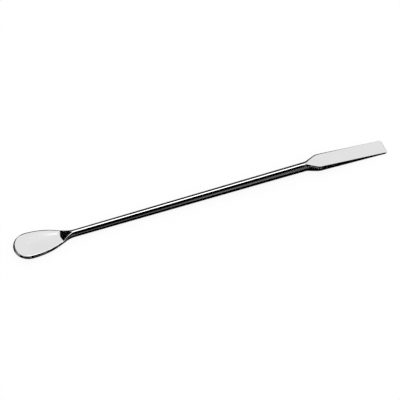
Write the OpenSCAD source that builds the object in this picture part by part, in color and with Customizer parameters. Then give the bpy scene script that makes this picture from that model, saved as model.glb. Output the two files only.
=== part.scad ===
// Double-ended laboratory spatula, forged from one tapered steel rod.
// A shallow egg-shaped spoon is at the -X end and a flat blade at the +X end.
// It lies on a bench at Z = 0 with its length along X, the origin under its middle.

/* [Overall] */
// Length from the tip of the spoon to the end of the blade
overall_l = 200; // [170:5:240]

/* [Shaft] */
// Diameter of the shaft at the spoon
neck_d = 3.8; // [3:0.05:4.6]
// Diameter of the shaft at the blade
root_d = 4.9; // [4:0.1:6]
// How far the thick end of the shaft is held off the bench, on the neck and the blade's end
root_lift = 0.1; // [0.05:0.05:0.5]

/* [Blade] */
// Length of the flat, from its point on the shaft to the square end
blade_l = 44.8; // [30:0.1:60]
// Width of the blade at the shoulders
blade_w = 10.1; // [8:0.1:13]
// Width of the blade at the square end
end_w = 8.8; // [7:0.1:12]
// Thickness of the blade at the shoulders
blade_t = 3; // [2:0.05:3.5]
// Thickness of the blade at the square end
end_t = 0.95; // [0.6:0.05:1.4]
// Mean length of the two shoulders
shoulder_l = 8.3; // [4:0.1:9]
// How much longer one shoulder is than the mean, and the other shorter
shoulder_skew = 0.6; // [0:0.1:2]
// How far the square end sits to one side of the shaft's line
end_lean = 0.35; // [0:0.05:0.8]
// Length over which the shaft's round back opens out into the flat
flare_l = 3; // [2:0.2:9]
// Width of each rounded edge, as a share of the thickness
edge_share = 0.42; // [0.2:0.01:0.5]
// Corner radius of the square end
corner_r = 1.1; // [0.3:0.1:2.5]
// Radius that breaks the edges of the square end
end_ease = 0.25; // [0.05:0.05:0.25]

/* [Spoon] */
// Length of the spoon with its neck, from the tip to the plain shaft
spoon_l = 31.6; // [29:0.1:42]
// Width of the spoon
spoon_w = 15.7; // [13:0.1:20]
// How far the full width carries on from the round tip towards the neck
cheek_l = 13.7; // [8:0.1:18]
// How far the neck's narrow width carries on from the shaft towards the spoon
neck_l = 6; // [3:0.1:10]
// Thickness of the lip round the tip
tip_t = 2.15; // [1.4:0.05:2.6]
// Thickness of the lip at the heel
heel_t = 1.55; // [1:0.05:2]
// Height of the spoon's face above the bench at the heel
face_h = 2.65; // [2:0.05:2.8]
// Upward tilt of the spoon, in degrees
spoon_tilt = 2.3; // [0:0.1:8]
// Depth of the dish below the lip
dish_d = 0.3; // [0.2:0.05:1]
// How far the underside bulges below the lip
belly_d = 0.7; // [0.4:0.1:1.4]
// Length of the flat ramp that climbs from the heel and runs out on the neck's back
ramp_l = 6.2; // [4:0.1:8]
// Length of round neck between the end of the ramp and the plain shaft
run_out = 0.8; // [0.4:0.1:4]
// Length over which the lip grows into the round side of the neck
ridge_l = 5; // [2:0.1:8]
// How far ahead of the ramp the neck's back starts to rise
back_lead = 1.5; // [0:0.1:3]
// How much the crease round the ramp is eased
crease = 0.12; // [0.04:0.02:0.3]
// How much the fold between the dish and the ramp is eased
fold = 0.06; // [0.02:0.02:0.2]

/* [Hidden] */

// Points on each quarter of a section: across the flat, then round the edge
flat_n = 7;
edge_n = 8;
half_n = flat_n + edge_n;
// Share of a round section's width that is treated as flat when its points are set out
least_flat = 0.3;
// Sections round the tip's lip, round the tip, along the spoon, along the shoulders,
// at the corners and at the eased end
lip_n = 6;
arc_n = 9;
cheek_n = 40;
shoulder_n = 14;
corner_n = 5;
ease_n = 3;
// Shares of a shoulder's length that its fillets take at the start and at the end
shoulder_fillets = [0.2, 0.3];

// Places along the length: the two ends, the ends of the plain shaft, the centre
// of the round tip, and the heel of the dish
tip_x = -overall_l / 2;
end_x = overall_l / 2;
neck_x = tip_x + spoon_l;
root_x = end_x - blade_l;
tip_r = spoon_w / 2;
tip_cx = tip_x + tip_r;
rise_l = ramp_l + run_out;
heel_x = neck_x - rise_l;
// The lip round the tip, and the edge of the face inside it
tip_lip_r = tip_t / 2;
dish_r = tip_r - tip_lip_r;
steel = [0.72, 0.73, 0.74];

function mix(a, b, s) = a + (b - a) * s;
function clamp01(s) = max(0, min(1, s));
function smooth(s) = let (c = clamp01(s)) c * c * (3 - 2 * c);
// A straight rise from 0 to 1 with a parabolic fillet at each end
function climb(s, fillets) =
    let (c = clamp01(s), m = 1 / (1 - (fillets[0] + fillets[1]) / 2))
    c < fillets[0] ? m * c * c / (2 * fillets[0]) :
    c > 1 - fillets[1] ? 1 - m * (1 - c) * (1 - c) / (2 * fillets[1]) : m * (c - fillets[0] / 2);
function bezier(a, b, c, d, t) =
    a * pow(1 - t, 3) + b * 3 * pow(1 - t, 2) * t + c * 3 * (1 - t) * t * t + d * pow(t, 3);
// The lower or the higher of two heights, eased where they are less than k apart
function soft_min(a, b, k) = min(a, b) - (k > 0 ? pow(max(0, k - abs(a - b)), 2) / (4 * k) : 0);
function soft_max(a, b, k) = -soft_min(-a, -b, k);
// A smooth bump that is 1 at 0 and dies away to nothing, with no kink, at 1 and -1
function bump(q) = abs(q) < 1 ? pow(1 - q * q, 2) : 0;

// A section is [x, [half width left, right], [edge width left, right], top, bottom,
// face, ramp, dish, belly, ease]. Left is -Y. Its outline is a flat with elliptical edges
// between top and bottom, cut down to the higher of the face and the ramp.
function shaft_r(x) = mix(neck_d, root_d, (x - neck_x) / (root_x - neck_x)) / 2;

// Spoon
function lip_r(x) = mix(tip_t, heel_t, clamp01((x - tip_cx) / (heel_x - tip_cx))) / 2;
function face_z(x) = face_h + (heel_x - x) * tan(spoon_tilt);
function lip_z(x) = face_z(x) - lip_r(x);
function ramp_z(x) = mix(face_h, neck_d + crease, (x - heel_x) / ramp_l);
function dish_at(x) =
    let (mid = (tip_x + tip_lip_r + neck_x) / 2)
    bump((x - mid) / (neck_x - mid));
function cheek(t) = bezier(
    [tip_cx, tip_r], [tip_cx + cheek_l, tip_r],
    [neck_x - neck_l, shaft_r(neck_x)], [neck_x, shaft_r(neck_x)], t);
function spoon_section(x, w) =
    let (
        round_s = smooth((x - heel_x) / ridge_l),
        edge = min(w, mix(lip_r(x), w, round_s)),
        top = mix(face_z(x), 2 * shaft_r(x), smooth((x - heel_x + back_lead) / rise_l)),
        bottom = mix(face_z(x) - 2 * lip_r(x), 0, smooth((x - heel_x) / rise_l))
    )
    [x, [w, w], [edge, edge], top, bottom,
        face_z(x), ramp_z(x), dish_d * dish_at(x), belly_d * dish_at(x), crease * round_s];
function tip_section(reach) =
    let (
        x = tip_cx - reach,
        w = sqrt(max(0, tip_r * tip_r - reach * reach)),
        edge = w - sqrt(max(0, dish_r * dish_r - reach * reach)),
        rise = sqrt(max(0, pow(tip_lip_r, 2) - pow(max(0, reach - dish_r), 2)))
    )
    [x, [w, w], [edge, edge], lip_z(x) + rise, lip_z(x) - rise,
        lip_z(x) + rise, 0, dish_d * dish_at(x), belly_d * dish_at(x), 0];

// Blade
function shoulder_s(x, side) = (x - root_x) / (shoulder_l + side * shoulder_skew);
function blade_edge_w(x) = mix(blade_w, end_w, (x - root_x - shoulder_l) / (blade_l - shoulder_l)) / 2;
// How much a radius r at the square end takes off the outline at x
function end_cut(x, r) =
    let (d = max(0, x - (end_x - r)))
    r - sqrt(max(0, r * r - d * d));
function blade_half_w(x, side) =
    mix(shaft_r(x), blade_edge_w(x), climb(shoulder_s(x, side), shoulder_fillets))
    - side * end_lean * (x - root_x) / blade_l
    - end_cut(x, corner_r) - end_cut(x, end_ease);
function blade_top(x) = mix(root_lift + root_d, end_t, (x - root_x) / blade_l);
function blade_under(x) =
    let (shoulder_z = blade_top(root_x + shoulder_l) - blade_t)
    mix(shoulder_z, 0, (x - root_x - shoulder_l) / (blade_l - shoulder_l));
function blade_section(x) =
    let (
        top = blade_top(x) - end_cut(x, end_ease),
        root_under = mix(root_lift, blade_under(x), smooth((x - root_x) / shoulder_l)),
        bottom = root_under + end_cut(x, end_ease),
        edge = mix(shaft_r(x), edge_share * (top - bottom), clamp01((x - root_x) / flare_l)),
        w = [for (side = [-1, 1]) blade_half_w(x, side)]
    )
    [x, w, [min(w[0], edge), min(w[1], edge)], top, bottom, top, 0, 0, 0, 0];

// Half width of the flat top, out to the crease where it meets the rounded edge
function flat_w(s, w, edge) =
    let (
        mid = (s[3] + s[4]) / 2,
        c = clamp01((max(s[5], s[6]) - mid) / (s[3] - mid))
    )
    w - edge * (1 - sqrt(1 - c * c));
// Height of the rounded edge at y, as a share of its height beside the flat
function edge_drop(s, y, w, edge) =
    let (
        from_tip = tip_cx - s[0],
        e = from_tip > 0
            ? clamp01((norm([from_tip, y]) - dish_r) / tip_lip_r)
            : clamp01((y - (w - edge)) / max(edge, 0.001)),
        crest = from_tip > 0 ? clamp01((from_tip - dish_r) / tip_lip_r) : 0
    )
    sqrt(max(0, 1 - e * e)) / sqrt(max(0.000001, 1 - crest * crest));
// Place across the section, from 0 in the middle to w at the side
function spread(k, w, flat) =
    let (inner = max(flat, least_flat * w))
    k <= flat_n ? inner * k / flat_n : inner + (w - inner) * sin(90 * (k - flat_n) / edge_n);
function section_point(s, k, is_top) =
    let (
        side = k < 0 ? 0 : 1,
        w = s[1][side],
        edge = s[2][side],
        flat = flat_w(s, w, edge),
        y = spread(abs(k), w, flat),
        mid = (s[3] + s[4]) / 2,
        rise = (s[3] - s[4]) / 2 * edge_drop(s, y, w, edge),
        under_flat = w - edge,
        face = s[5] - s[7] * (flat > 0 ? bump(y / flat) : 0),
        z = is_top
            ? soft_min(mid + rise, soft_max(face, s[6], fold), s[9])
            : mid - rise - s[8] * (under_flat > 0 ? bump(y / under_flat) : 0)
    )
    [s[0], k < 0 ? -y : y, z];
// One closed ring: over the top from right to left, then back underneath
function ring(s) = concat(
    [for (k = [half_n : -1 : -half_n]) section_point(s, k, true)],
    [for (k = [1 - half_n : half_n - 1]) section_point(s, k, false)]);

module spatula() {
    lip_reaches = [for (i = [lip_n - 1 : -1 : 0]) dish_r + tip_lip_r * sin(90 * i / lip_n)];
    arc_reaches = [for (i = [1 : arc_n]) dish_r * cos(90 * i / arc_n)];
    corner_xs = [for (i = [0 : corner_n])
        end_x - corner_r + (corner_r - end_ease) * sin(90 * i / corner_n)];
    ease_xs = [for (i = [1 : ease_n]) end_x - end_ease + end_ease * sin(90 * i / ease_n)];
    shoulder_xs = [for (i = [0 : shoulder_n])
        root_x + (shoulder_l + shoulder_skew) * i / shoulder_n];
    sections = concat(
        [for (reach = concat(lip_reaches, arc_reaches)) tip_section(reach)],
        [for (i = [1 : cheek_n]) let (p = cheek(i / cheek_n)) spoon_section(p[0], p[1])],
        [for (x = concat(shoulder_xs, corner_xs, ease_xs)) blade_section(x)]);
    ring_n = 4 * half_n;
    last = len(sections) - 1;
    points = concat([for (s = sections) each ring(s)], [[tip_x, 0, lip_z(tip_x)]]);
    pole = len(points) - 1;
    floor_z = min([for (p = points) p[2]]);
    skin = [for (i = [0 : last - 1], j = [0 : ring_n - 1])
        let (
            a = i * ring_n + j,
            b = i * ring_n + (j + 1) % ring_n,
            c = a + ring_n,
            d = b + ring_n
        )
        each [[a, d, b], [a, c, d]]];
    tip_fan = [for (j = [0 : ring_n - 1]) [pole, j, (j + 1) % ring_n]];
    end_cap = [for (j = [ring_n - 1 : -1 : 0]) last * ring_n + j];
    color(steel)
        translate([0, 0, -floor_z])
            polyhedron(points = points, faces = concat(skin, tip_fan, [end_cap]), convexity = 4);
}

spatula();
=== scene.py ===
"""Looks of the double-ended laboratory spatula: smooth polished steel, lying on a pale bench."""

import math

import bpy
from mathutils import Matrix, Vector


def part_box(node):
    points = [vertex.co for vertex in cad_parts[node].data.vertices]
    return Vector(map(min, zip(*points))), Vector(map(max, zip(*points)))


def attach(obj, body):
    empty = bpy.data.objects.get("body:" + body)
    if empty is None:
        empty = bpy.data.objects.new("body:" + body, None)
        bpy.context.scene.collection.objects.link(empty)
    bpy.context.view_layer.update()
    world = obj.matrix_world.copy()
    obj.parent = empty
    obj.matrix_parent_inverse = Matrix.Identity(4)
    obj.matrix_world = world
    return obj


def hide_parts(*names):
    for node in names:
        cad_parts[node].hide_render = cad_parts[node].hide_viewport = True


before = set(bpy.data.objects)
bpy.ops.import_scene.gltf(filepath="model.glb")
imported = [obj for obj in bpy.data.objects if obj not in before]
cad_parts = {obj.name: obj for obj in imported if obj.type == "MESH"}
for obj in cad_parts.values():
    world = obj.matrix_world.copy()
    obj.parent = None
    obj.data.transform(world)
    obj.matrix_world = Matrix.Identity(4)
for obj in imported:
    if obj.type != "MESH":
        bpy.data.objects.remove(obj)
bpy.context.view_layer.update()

MM = 0.001
NODE = "spatula"
LOW, HIGH = (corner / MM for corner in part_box(NODE))

# ---------------------------------------------------------------- sizes in millimetres
# The same as in the solid, so that the two keep one form
TIP_X, END_X = LOW.x, HIGH.x
NECK_D, ROOT_D, ROOT_LIFT = 3.8, 4.9, 0.1

BLADE_L = 44.8
BLADE_W, END_W = 10.1, 8.8
BLADE_T, END_T = 3.0, 0.95
SHOULDER_L, SHOULDER_SKEW = 8.3, 0.6
SHOULDER_FILLETS = (0.2, 0.3)
END_LEAN, FLARE_L, EDGE_SHARE = 0.35, 3.0, 0.42
CORNER_R, END_EASE = 1.1, 0.25

SPOON_L, SPOON_W = 31.6, 15.7
CHEEK_L, NECK_L = 13.7, 6.0
TIP_T, HEEL_T = 2.15, 1.55
FACE_H, SPOON_TILT = 2.65, 2.3
DISH_D, BELLY_D = 0.3, 0.7
RAMP_L, RUN_OUT, RIDGE_L, BACK_LEAD = 6.2, 0.8, 5.0, 1.5
CREASE, FOLD = 0.12, 0.06

NECK_X, ROOT_X = TIP_X + SPOON_L, END_X - BLADE_L
TIP_R, TIP_LIP_R = SPOON_W / 2, TIP_T / 2
DISH_R, TIP_CX = TIP_R - TIP_LIP_R, TIP_X + TIP_R
RISE_L = RAMP_L + RUN_OUT
HEEL_X = NECK_X - RISE_L

# How finely the surface is divided: points on a quarter of a ring, and rings along each stretch
FLAT_N, EDGE_N = 14, 20
HALF_N = FLAT_N + EDGE_N
LIP_N, ARC_N, CHEEK_N, SHAFT_N = 20, 40, 150, 60
SHOULDER_N, BLADE_N, CORNER_N, EASE_N = 70, 60, 10, 5

# The least share of a slice that the flat's points spread over, and the angle that stays a crease
LEAST_FLAT = 0.3
SHARP_ANGLE = math.radians(40)

# Keeps divisions away from nought
TINY = 0.001


# ---------------------------------------------------------------- the form
def mix(a, b, s):
    return a + (b - a) * s


def clamp01(s):
    return min(1.0, max(0.0, s))


def smooth(s):
    c = clamp01(s)
    return c * c * (3 - 2 * c)


def climb(s, fillets):
    """A straight rise from 0 to 1 with a parabolic fillet at each end."""
    start, end = fillets
    c, m = clamp01(s), 1 / (1 - (start + end) / 2)
    if c < start:
        return m * c * c / (2 * start)
    if c > 1 - end:
        return 1 - m * (1 - c) ** 2 / (2 * end)
    return m * (c - start / 2)


def bump(q):
    """A rounded hump: 1 in the middle, falling to 0 at q = -1 and q = 1."""
    return (1 - q * q) ** 2 if abs(q) < 1 else 0.0


def soft_min(a, b, k):
    """The lower of two heights, eased where they are less than k apart."""
    return min(a, b) - (max(0.0, k - abs(a - b)) ** 2 / (4 * k) if k > 0 else 0.0)


def soft_max(a, b, k):
    return -soft_min(-a, -b, k)


def bezier(a, b, c, d, t):
    return a * (1 - t) ** 3 + b * 3 * (1 - t) ** 2 * t + c * 3 * (1 - t) * t * t + d * t ** 3


def shaft_r(x):
    return mix(NECK_D, ROOT_D, (x - NECK_X) / (ROOT_X - NECK_X)) / 2


def lip_r(x):
    return mix(TIP_T, HEEL_T, clamp01((x - TIP_CX) / (HEEL_X - TIP_CX))) / 2


def face_z(x):
    return FACE_H + (HEEL_X - x) * math.tan(math.radians(SPOON_TILT))


def lip_z(x):
    return face_z(x) - lip_r(x)


def ramp_z(x):
    return mix(FACE_H, NECK_D + CREASE, (x - HEEL_X) / RAMP_L)


def dish_at(x):
    middle = (TIP_X + TIP_LIP_R + NECK_X) / 2
    return bump((x - middle) / (NECK_X - middle))


class Section:
    """One slice across the length. Pairs are left and right, and left is -Y.
    Its outline is a flat with elliptical edges, cut down to the higher of the face and the ramp."""

    def __init__(self, x, widths, edges, top, bottom, face=None,
                 ramp=0.0, dish=0.0, belly=0.0, ease=0.0):
        self.x, self.widths, self.edges = x, widths, edges
        self.top, self.bottom, self.middle = top, bottom, (top + bottom) / 2
        self.face = top if face is None else face
        self.ramp, self.dish, self.belly, self.ease = ramp, dish, belly, ease

    def flat_w(self, side):
        """Half width of the flat top, out to the crease where it meets the rounded edge."""
        c = clamp01((max(self.face, self.ramp) - self.middle) / (self.top - self.middle))
        return self.widths[side] - self.edges[side] * (1 - math.sqrt(1 - c * c))

    def edge_drop(self, y, side):
        """Height of the rounded edge at y, as a share of its height beside the flat."""
        w, edge, from_tip = self.widths[side], self.edges[side], TIP_CX - self.x
        if from_tip > 0:
            e = clamp01((math.hypot(from_tip, y) - DISH_R) / TIP_LIP_R)
            crest = clamp01((from_tip - DISH_R) / TIP_LIP_R)
        else:
            e, crest = clamp01((y - (w - edge)) / max(edge, TINY)), 0.0
        return math.sqrt(max(0.0, 1 - e * e)) / math.sqrt(max(TINY * TINY, 1 - crest * crest))

    def point(self, k, is_top):
        """Point k across the slice, from -HALF_N at the left side to HALF_N at the right."""
        side = 0 if k < 0 else 1
        w, flat = self.widths[side], self.flat_w(side)
        under_flat = w - self.edges[side]
        y = spread(abs(k), w, flat)
        rise = (self.top - self.bottom) / 2 * self.edge_drop(y, side)
        if is_top:
            face = self.face - self.dish * (bump(y / flat) if flat > 0 else 0)
            z = soft_min(self.middle + rise, soft_max(face, self.ramp, FOLD), self.ease)
        else:
            z = self.middle - rise - self.belly * (bump(y / under_flat) if under_flat > 0 else 0)
        return self.x, -y if k < 0 else y, z

    def ring(self):
        """All points of the slice: over the top from right to left, then back underneath."""
        over = [self.point(k, True) for k in range(HALF_N, -HALF_N - 1, -1)]
        under = [self.point(k, False) for k in range(1 - HALF_N, HALF_N)]
        return over + under


def spread(k, w, flat):
    """Place across a slice, from 0 in the middle to w at the side."""
    inner = max(flat, LEAST_FLAT * w)
    if k <= FLAT_N:
        return inner * k / FLAT_N
    return inner + (w - inner) * math.sin(math.radians(90 * (k - FLAT_N) / EDGE_N))


def spoon_section(x, w):
    round_s = smooth((x - HEEL_X) / RIDGE_L)
    edge = min(w, mix(lip_r(x), w, round_s))
    top = mix(face_z(x), 2 * shaft_r(x), smooth((x - HEEL_X + BACK_LEAD) / RISE_L))
    bottom = mix(face_z(x) - 2 * lip_r(x), 0, smooth((x - HEEL_X) / RISE_L))
    return Section(x, (w, w), (edge, edge), top, bottom, face_z(x), ramp_z(x),
                   DISH_D * dish_at(x), BELLY_D * dish_at(x), CREASE * round_s)


def tip_section(reach):
    """A slice of the round tip, at reach mm from the centre of the tip's arc."""
    x = TIP_CX - reach
    w = math.sqrt(max(0.0, TIP_R ** 2 - reach ** 2))
    edge = w - math.sqrt(max(0.0, DISH_R ** 2 - reach ** 2))
    rise = math.sqrt(max(0.0, TIP_LIP_R ** 2 - max(0.0, reach - DISH_R) ** 2))
    return Section(x, (w, w), (edge, edge), lip_z(x) + rise, lip_z(x) - rise,
                   dish=DISH_D * dish_at(x), belly=BELLY_D * dish_at(x))


def shoulder_share(x, side):
    """How far x is along the shoulder. The shoulder on the right is the longer one."""
    return (x - ROOT_X) / (SHOULDER_L + side * SHOULDER_SKEW)


def end_cut(x, r):
    """How much a radius r at the square end takes off the outline at x."""
    into = max(0.0, x - (END_X - r))
    return r - math.sqrt(max(0.0, r * r - into * into))


def blade_half_w(x, side):
    edge = mix(BLADE_W, END_W, (x - ROOT_X - SHOULDER_L) / (BLADE_L - SHOULDER_L)) / 2
    full = mix(shaft_r(x), edge, climb(shoulder_share(x, side), SHOULDER_FILLETS))
    lean = side * END_LEAN * (x - ROOT_X) / BLADE_L
    return full - lean - end_cut(x, CORNER_R) - end_cut(x, END_EASE)


def blade_top(x):
    return mix(ROOT_LIFT + ROOT_D, END_T, (x - ROOT_X) / BLADE_L)


def blade_under(x):
    shoulder_z = blade_top(ROOT_X + SHOULDER_L) - BLADE_T
    return mix(shoulder_z, 0, (x - ROOT_X - SHOULDER_L) / (BLADE_L - SHOULDER_L))


def blade_section(x):
    top = blade_top(x) - end_cut(x, END_EASE)
    root_under = mix(ROOT_LIFT, blade_under(x), smooth((x - ROOT_X) / SHOULDER_L))
    bottom = root_under + end_cut(x, END_EASE)
    edge = mix(shaft_r(x), EDGE_SHARE * (top - bottom), clamp01((x - ROOT_X) / FLARE_L))
    widths = [blade_half_w(x, side) for side in (-1, 1)]
    return Section(x, widths, [min(w, edge) for w in widths], top, bottom)


def shaft_section(x):
    r, bottom = shaft_r(x), ROOT_LIFT * (x - NECK_X) / (ROOT_X - NECK_X)
    return Section(x, (r, r), (r, r), bottom + 2 * r, bottom)


def steps(start, end, n):
    """n places after start, evenly spaced, the last one at end."""
    return [mix(start, end, i / n) for i in range(1, n + 1)]


def all_sections():
    quarter = math.pi / 2
    found = []
    for i in range(LIP_N - 1, -1, -1):
        found.append(tip_section(DISH_R + TIP_LIP_R * math.sin(quarter * i / LIP_N)))
    for i in range(1, ARC_N + 1):
        found.append(tip_section(DISH_R * math.cos(quarter * i / ARC_N)))
    outline = [Vector((TIP_CX, TIP_R)), Vector((TIP_CX + CHEEK_L, TIP_R)),
               Vector((NECK_X - NECK_L, shaft_r(NECK_X))), Vector((NECK_X, shaft_r(NECK_X)))]
    for t in steps(0, 1, CHEEK_N):
        x, w = bezier(*outline, t)
        found.append(spoon_section(x, w))
    found += [shaft_section(x) for x in steps(NECK_X, ROOT_X, SHAFT_N)]
    shoulder_end = ROOT_X + SHOULDER_L + SHOULDER_SKEW
    corner_x = END_X - CORNER_R
    found += [blade_section(x) for x in steps(ROOT_X, shoulder_end, SHOULDER_N)]
    found += [blade_section(x) for x in steps(shoulder_end, corner_x, BLADE_N)]
    for i in range(1, CORNER_N + 1):
        reach = (CORNER_R - END_EASE) * math.sin(quarter * i / CORNER_N)
        found.append(blade_section(corner_x + reach))
    for i in range(1, EASE_N + 1):
        found.append(blade_section(END_X - END_EASE + END_EASE * math.sin(quarter * i / EASE_N)))
    return found


def build_spatula():
    """One skin over all the slices, closed by a point at the tip and one in the square end."""
    sections = all_sections()
    points = [p for s in sections for p in s.ring()]
    ring_n, last = 4 * HALF_N, len(sections) - 1
    tip_point, end_point = len(points), len(points) + 1
    points += [(TIP_X, 0, lip_z(TIP_X)), (END_X, 0, sections[last].middle)]
    faces = []
    for j in range(ring_n):
        after = (j + 1) % ring_n
        faces.append((tip_point, j, after))
        for i in range(last):
            a, b = i * ring_n + j, i * ring_n + after
            faces.append((a, a + ring_n, b + ring_n, b))
        faces.append((end_point, last * ring_n + after, last * ring_n + j))
    mesh = bpy.data.meshes.new("polished_spatula")
    mesh.from_pydata([Vector(p) * MM for p in points], [], faces)
    mesh.validate()
    mesh.polygons.foreach_set("use_smooth", [True] * len(mesh.polygons))
    mesh.set_sharp_from_angle(angle=SHARP_ANGLE)
    piece = bpy.data.objects.new("polished_spatula", mesh)
    bpy.context.scene.collection.objects.link(piece)
    return piece


# ---------------------------------------------------------------- the finish
COOL_STEEL, WARM_STEEL = (0.735, 0.74, 0.745, 1), (0.775, 0.775, 0.77, 1)
CLOUD_SCALE, CLOUD_DETAIL, CLOUD_ROUGHNESS = 180.0, 2.0, 0.5

# The polishing lines are noise drawn out along X. Between LINE_FROM and LINE_TO the noise takes
# the steel's roughness from CLEAREST to DULLEST, and it gives the lines a faint relief
LINE_SCALE = (40, 1500, 1500)
LINE_DETAIL, LINE_ROUGHNESS = 3.0, 0.6
LINE_FROM, LINE_TO = 0.3, 0.7
CLEAREST, DULLEST = 0.05, 0.1
RELIEF_STRENGTH, RELIEF_DEPTH = 0.04, 0.00002


def node(tree, kind, **inputs):
    """A new node with its inputs set by name, where an underscore stands for a space."""
    made = tree.nodes.new(kind)
    for name, value in inputs.items():
        made.inputs[name.replace("_", " ")].default_value = value
    return made


def polished_steel():
    """Bright steel with faint lengthwise polishing lines and soft cloudiness."""
    material = bpy.data.materials.new("polished_steel")
    material.use_nodes = True
    tree = material.node_tree
    links = tree.links
    shader = tree.nodes["Principled BSDF"]
    shader.inputs["Metallic"].default_value = 1.0
    place = node(tree, "ShaderNodeTexCoord")

    clouds = node(tree, "ShaderNodeTexNoise", Scale=CLOUD_SCALE, Detail=CLOUD_DETAIL,
                  Roughness=CLOUD_ROUGHNESS)
    colour = tree.nodes.new("ShaderNodeMix")
    colour.data_type = "RGBA"
    colour.inputs["A"].default_value = COOL_STEEL
    colour.inputs["B"].default_value = WARM_STEEL
    links.new(place.outputs["Object"], clouds.inputs["Vector"])
    links.new(clouds.outputs["Fac"], colour.inputs["Factor"])
    links.new(colour.outputs["Result"], shader.inputs["Base Color"])

    stretch = node(tree, "ShaderNodeMapping", Scale=LINE_SCALE)
    lines = node(tree, "ShaderNodeTexNoise", Scale=1.0, Detail=LINE_DETAIL,
                 Roughness=LINE_ROUGHNESS)
    dull = node(tree, "ShaderNodeMapRange", From_Min=LINE_FROM, From_Max=LINE_TO,
                To_Min=CLEAREST, To_Max=DULLEST)
    relief = node(tree, "ShaderNodeBump", Strength=RELIEF_STRENGTH, Distance=RELIEF_DEPTH)
    links.new(place.outputs["Object"], stretch.inputs["Vector"])
    links.new(stretch.outputs["Vector"], lines.inputs["Vector"])
    links.new(lines.outputs["Fac"], dull.inputs["Value"])
    links.new(dull.outputs["Result"], shader.inputs["Roughness"])
    links.new(lines.outputs["Fac"], relief.inputs["Height"])
    links.new(relief.outputs["Normal"], shader.inputs["Normal"])
    return material


spatula = build_spatula()
spatula.data.materials.append(polished_steel())
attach(spatula, "root")
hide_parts(NODE)


# ---------------------------------------------------------------- camera, in metres
# Fitted to the outline in the photo
CAMERA_AZIMUTH, CAMERA_ELEVATION = math.radians(-19.672), math.radians(53.229)
CAMERA_DISTANCE, CLIP_START = 0.700, 0.01
FOCAL_PX, IMAGE_PX, SENSOR_MM = 1374.24, 400, 36.0
LOOK_AT = Vector((-0.00237, -0.00029, 0))

camera_data = bpy.data.cameras.new("camera")
camera_data.sensor_width = SENSOR_MM
camera_data.lens = FOCAL_PX / IMAGE_PX * SENSOR_MM
camera_data.clip_start = CLIP_START
camera = bpy.data.objects.new("camera", camera_data)
bpy.context.scene.collection.objects.link(camera)
back = Vector((math.sin(CAMERA_AZIMUTH) * math.cos(CAMERA_ELEVATION),
               -math.cos(CAMERA_AZIMUTH) * math.cos(CAMERA_ELEVATION),
               math.sin(CAMERA_ELEVATION)))
camera.location = LOOK_AT + back * CAMERA_DISTANCE
camera.rotation_euler = (-back).to_track_quat("-Z", "Y").to_euler()
bpy.context.scene.camera = camera


# ---------------------------------------------------------------- stage and light, in metres
WHITE = (1, 1, 1, 1)
FLOOR_GREY, FLOOR_HALF, SHADOW_SHARE = 0.94, 3.0, 0.1

# Half sizes of the black flag that lies on the bench for reflections, and its height
BENCH_X, BENCH_Y, BENCH_Z = 0.4, 0.3, 0.0001

# The cards' brightness, the radius that each kind stands at, and how finely they bend
BLACK, DIM, GREY, SOFT, BRIGHT = 0.0, 0.04, 0.11, 0.5, 2.8
SCREEN_R, DIM_R, CARD_R, BEHIND_R = 0.98, 0.99, 1.0, 1.02
CARD_STEP = 6.0

# The lamp overhead, tilted towards the part
STRIP_ANGLE, STRIP_R, STRIP_POWER = math.radians(12), 1.2, 1.5
STRIP_X, STRIP_L, STRIP_W = 0.5, 2.4, 0.5


def stage_mesh(name, points, faces, material):
    mesh = bpy.data.meshes.new(name)
    mesh.from_pydata(points, [], faces)
    mesh.materials.append(material)
    piece = bpy.data.objects.new(name, mesh)
    bpy.context.scene.collection.objects.link(piece)
    return piece


def stage_quad(name, half_x, half_y, z, material):
    corners = [(-half_x, -half_y, z), (half_x, -half_y, z),
               (half_x, half_y, z), (-half_x, half_y, z)]
    return stage_mesh(name, corners, [(0, 1, 2, 3)], material)


def only_reflected(piece):
    piece.visible_camera = False
    piece.visible_diffuse = False
    piece.visible_shadow = False


def floor_material():
    """White to the camera and to reflections, but for the share that takes the shadow."""
    material = bpy.data.materials.new("pale_floor")
    material.use_nodes = True
    tree = material.node_tree
    matt = tree.nodes["Principled BSDF"]
    matt.inputs["Base Color"].default_value = (FLOOR_GREY, FLOOR_GREY, FLOOR_GREY, 1)
    matt.inputs["Roughness"].default_value = 1.0
    matt.inputs["Specular IOR Level"].default_value = 0.0
    path = tree.nodes.new("ShaderNodeLightPath")
    seen = path.outputs["Is Camera Ray"]
    for other in ("Is Glossy Ray", "Is Transmission Ray"):
        add = tree.nodes.new("ShaderNodeMath")
        tree.links.new(seen, add.inputs[0])
        tree.links.new(path.outputs[other], add.inputs[1])
        seen = add.outputs["Value"]
    share = tree.nodes.new("ShaderNodeMath")
    share.operation = "MULTIPLY"
    share.use_clamp = True
    share.inputs[1].default_value = 1 - SHADOW_SHARE
    tree.links.new(seen, share.inputs[0])
    white = node(tree, "ShaderNodeEmission", Color=WHITE, Strength=1.0)
    both = tree.nodes.new("ShaderNodeMixShader")
    tree.links.new(share.outputs["Value"], both.inputs["Fac"])
    tree.links.new(matt.outputs["BSDF"], both.inputs[1])
    tree.links.new(white.outputs["Emission"], both.inputs[2])
    tree.links.new(both.outputs["Shader"], tree.nodes["Material Output"].inputs["Surface"])
    return material


def card_material(name, level):
    material = bpy.data.materials.new(name)
    material.use_nodes = True
    tree = material.node_tree
    tree.nodes.clear()
    glow = node(tree, "ShaderNodeEmission", Color=(level, level, level, 1), Strength=1.0)
    out = tree.nodes.new("ShaderNodeOutputMaterial")
    tree.links.new(glow.outputs["Emission"], out.inputs["Surface"])
    return material


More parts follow.
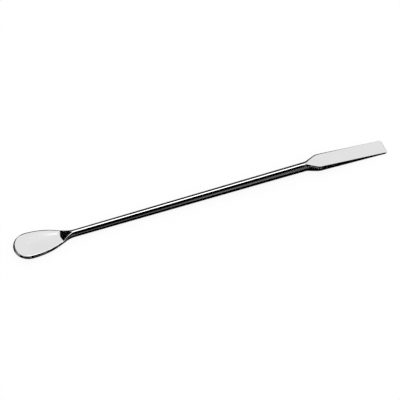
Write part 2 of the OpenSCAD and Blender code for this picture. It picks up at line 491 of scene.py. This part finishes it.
def card(name, rows, level, radius=CARD_R):
    """A studio card that only reflections see, on a tunnel along X round the part. A row is
    (angle from straight overhead, lowest x, highest x), positive towards the camera's side."""
    points = []
    for (start, low, high), (end, next_low, next_high) in zip(rows, rows[1:]):
        parts = max(1, math.ceil(abs(end - start) / CARD_STEP))
        for i in range(parts + 1):
            s = i / parts
            a = math.radians(mix(start, end, s))
            y, z = -radius * math.sin(a), radius * math.cos(a)
            points += [(mix(low, next_low, s), y, z), (mix(high, next_high, s), y, z)]
    faces = [(i, i + 1, i + 3, i + 2) for i in range(0, len(points) - 2, 2)]
    only_reflected(stage_mesh(name, points, faces, card_material(name, level)))


def screen(name, start, end, low, high):
    """A soft grey screen in front of the black flags, for a flat to mirror from another side."""
    card(name + "_screen", [(start, low, high), (end, low, high)], SOFT, SCREEN_R)


stage_quad("floor", FLOOR_HALF, FLOOR_HALF, 0, floor_material())
bench_flag = stage_quad("bench_flag", BENCH_X, BENCH_Y, BENCH_Z,
                        card_material("bench_flag", BLACK))
only_reflected(bench_flag)

# Edges that cards share: angles in degrees from straight overhead, and places along X
FLOOR_ANGLE, NEAR_ANGLE, LEFT_ANGLE, LINE_ANGLE = 91, 51, 12, -38.5
LEFT_X, LEFT_END_X, SPOON_X = -3.0, -0.5, -0.065
LINE_X, NEAR_X, STRIP_END_X = 0.265, 0.37, 0.42
FAR_END_X, OVER_END_X, RIGHT_END_X, NEAR_END_X = 0.51, 0.75, 0.85, 0.88

# The far side: the shaft's upper dark line, the ramp, the blade's end and the spoon's left end
card("far_flag", [(-FLOOR_ANGLE, -0.12, FAR_END_X), (-62, -0.11, FAR_END_X),
                  (-56, -0.145, FAR_END_X), (-50.5, -0.18, FAR_END_X),
                  (-50.5, 0.0, STRIP_END_X), (-49, 0.05, STRIP_END_X),
                  (-48.5, 0.055, STRIP_END_X), (-48.5, 0.055, LINE_X),
                  (-42, 0.1, LINE_X), (LINE_ANGLE, 0.12, LINE_X)], BLACK)
card("far_line_flag", [(-44.5, LINE_X, 0.4), (LINE_ANGLE, LINE_X, 0.4)], BLACK)
card("ramp_flag", [(-62, -0.11, -0.05), (-56, -0.145, -0.1), (-50, -0.19, -0.15),
                   (-44, -0.27, -0.2), (-41, -0.5, -0.2), (-36, -0.5, -0.106),
                   (-30, -0.5, -0.106)], BLACK)
card("end_flag", [(-62, 0.9, 1.5), (-44, 0.9, 1.5)], BLACK)
card("far_left_flag", [(-FLOOR_ANGLE, LEFT_X, -0.3), (-66, LEFT_X, -0.29), (-60, LEFT_X, -0.26),
                       (-41, LEFT_X, -0.26), (-30, LEFT_X, -0.3), (-24, LEFT_X, LEFT_END_X),
                       (LEFT_ANGLE, LEFT_X, LEFT_END_X)], BLACK)

# Overhead: the shaft's bright line and the black one below it
card("strip_card", [(-34, 0.125, STRIP_END_X), (-26, 0.125, STRIP_END_X),
                    (-26, -0.05, STRIP_END_X), (-8, -0.05, STRIP_END_X)], BRIGHT, BEHIND_R)
card("overhead_flag", [(-19, 0.3, OVER_END_X), (-16.5, 0.2, OVER_END_X),
                       (-11, 0.08, OVER_END_X), (-8, SPOON_X, OVER_END_X),
                       (9, SPOON_X, OVER_END_X), (9, LEFT_END_X, OVER_END_X),
                       (LEFT_ANGLE, LEFT_END_X, OVER_END_X), (LEFT_ANGLE, LEFT_X, RIGHT_END_X),
                       (NEAR_ANGLE, LEFT_X, RIGHT_END_X)], BLACK)

# The camera's side: the shaft's grey line and the dark lower edges
card("near_left_flag", [(NEAR_ANGLE, LEFT_X, 0.0), (FLOOR_ANGLE, LEFT_X, 0.0)], BLACK)
card("near_card", [(NEAR_ANGLE, 0.2, NEAR_X), (70, 0.08, NEAR_X), (72, 0.0, NEAR_X),
                   (FLOOR_ANGLE, 0.0, NEAR_X)], GREY)
card("near_corner_flag", [(NEAR_ANGLE, 0.0, 0.2), (70, 0.0, 0.08), (72, 0.0, 0.0)], BLACK)
card("near_right_flag", [(NEAR_ANGLE, NEAR_X, NEAR_END_X), (FLOOR_ANGLE, NEAR_X, NEAR_END_X)],
     BLACK)
card("near_dim_card", [(20, -0.45, -0.1), (62, -0.45, -0.1)], DIM, DIM_R)

# Screens with a twin on the far side, as first and last angle, then lowest and highest x
PAIRED_SCREENS = {
    "left": (56, 77, -1.22, -1.02),
    "left_high": (25, 42, -0.8, -0.62),
    "left_blade": (60.5, 65, -0.7, -0.49),
    "blade": (74.5, 78, 0.17, 0.31),
}
for place, (start, end, low, high) in PAIRED_SCREENS.items():
    screen("far_" + place, -end, -start, low, high)
    screen("near_" + place, start, end, low, high)

# Screens without a twin
SINGLE_SCREENS = {
    "left_end": (-8, 8, -4.2, -2.5),
    "left_end_blade": (-3, 3, -2.1, -1.7),
    "upper_left": (-10, 10, -1.18, -0.95),
    "left_blade": (-3, 3, -0.58, -0.5),
    "top_spoon": (-11, 9, -0.2, SPOON_X),
    "top_blade": (-8, 4, 0.335, 0.46),
    "far_blade_mid": (-62.6, -60.9, 0.23, 0.34),
    "ramp_blade": (-34.6, -32.4, -0.25, -0.15),
    "near_left_high_blade": (31.5, 35.5, -0.27, -0.13),
    "near_spoon": (36, 54, -0.175, -0.115),
    "near_mid_spoon": (54, 65, -0.19, -0.14),
    "near_low_spoon": (65, 84, -0.21, -0.14),
    "near_blade_high": (45.6, 47.4, 0.27, 0.335),
    "near_end": (43, 50, 0.335, 0.385),
    "near_right_high": (28, 44, 0.41, 0.47),
    "near_right": (56, 83, 0.69, 0.755),
}
for place, (start, end, low, high) in SINGLE_SCREENS.items():
    screen(place, start, end, low, high)

world = bpy.data.worlds.new("white_studio")
world.use_nodes = True
background = world.node_tree.nodes["Background"]
background.inputs["Color"].default_value = WHITE
background.inputs["Strength"].default_value = 1.0
bpy.context.scene.world = world

strip_data = bpy.data.lights.new("strip", "AREA")
strip_data.shape = "RECTANGLE"
strip_data.size, strip_data.size_y = STRIP_L, STRIP_W
strip_data.energy = STRIP_POWER
strip = bpy.data.objects.new("strip", strip_data)
bpy.context.scene.collection.objects.link(strip)
strip.location = (STRIP_X, STRIP_R * math.sin(STRIP_ANGLE), STRIP_R * math.cos(STRIP_ANGLE))
strip.rotation_euler = (-STRIP_ANGLE, 0, 0)
strip.visible_glossy = False

bpy.context.scene.view_settings.view_transform = "Standard"
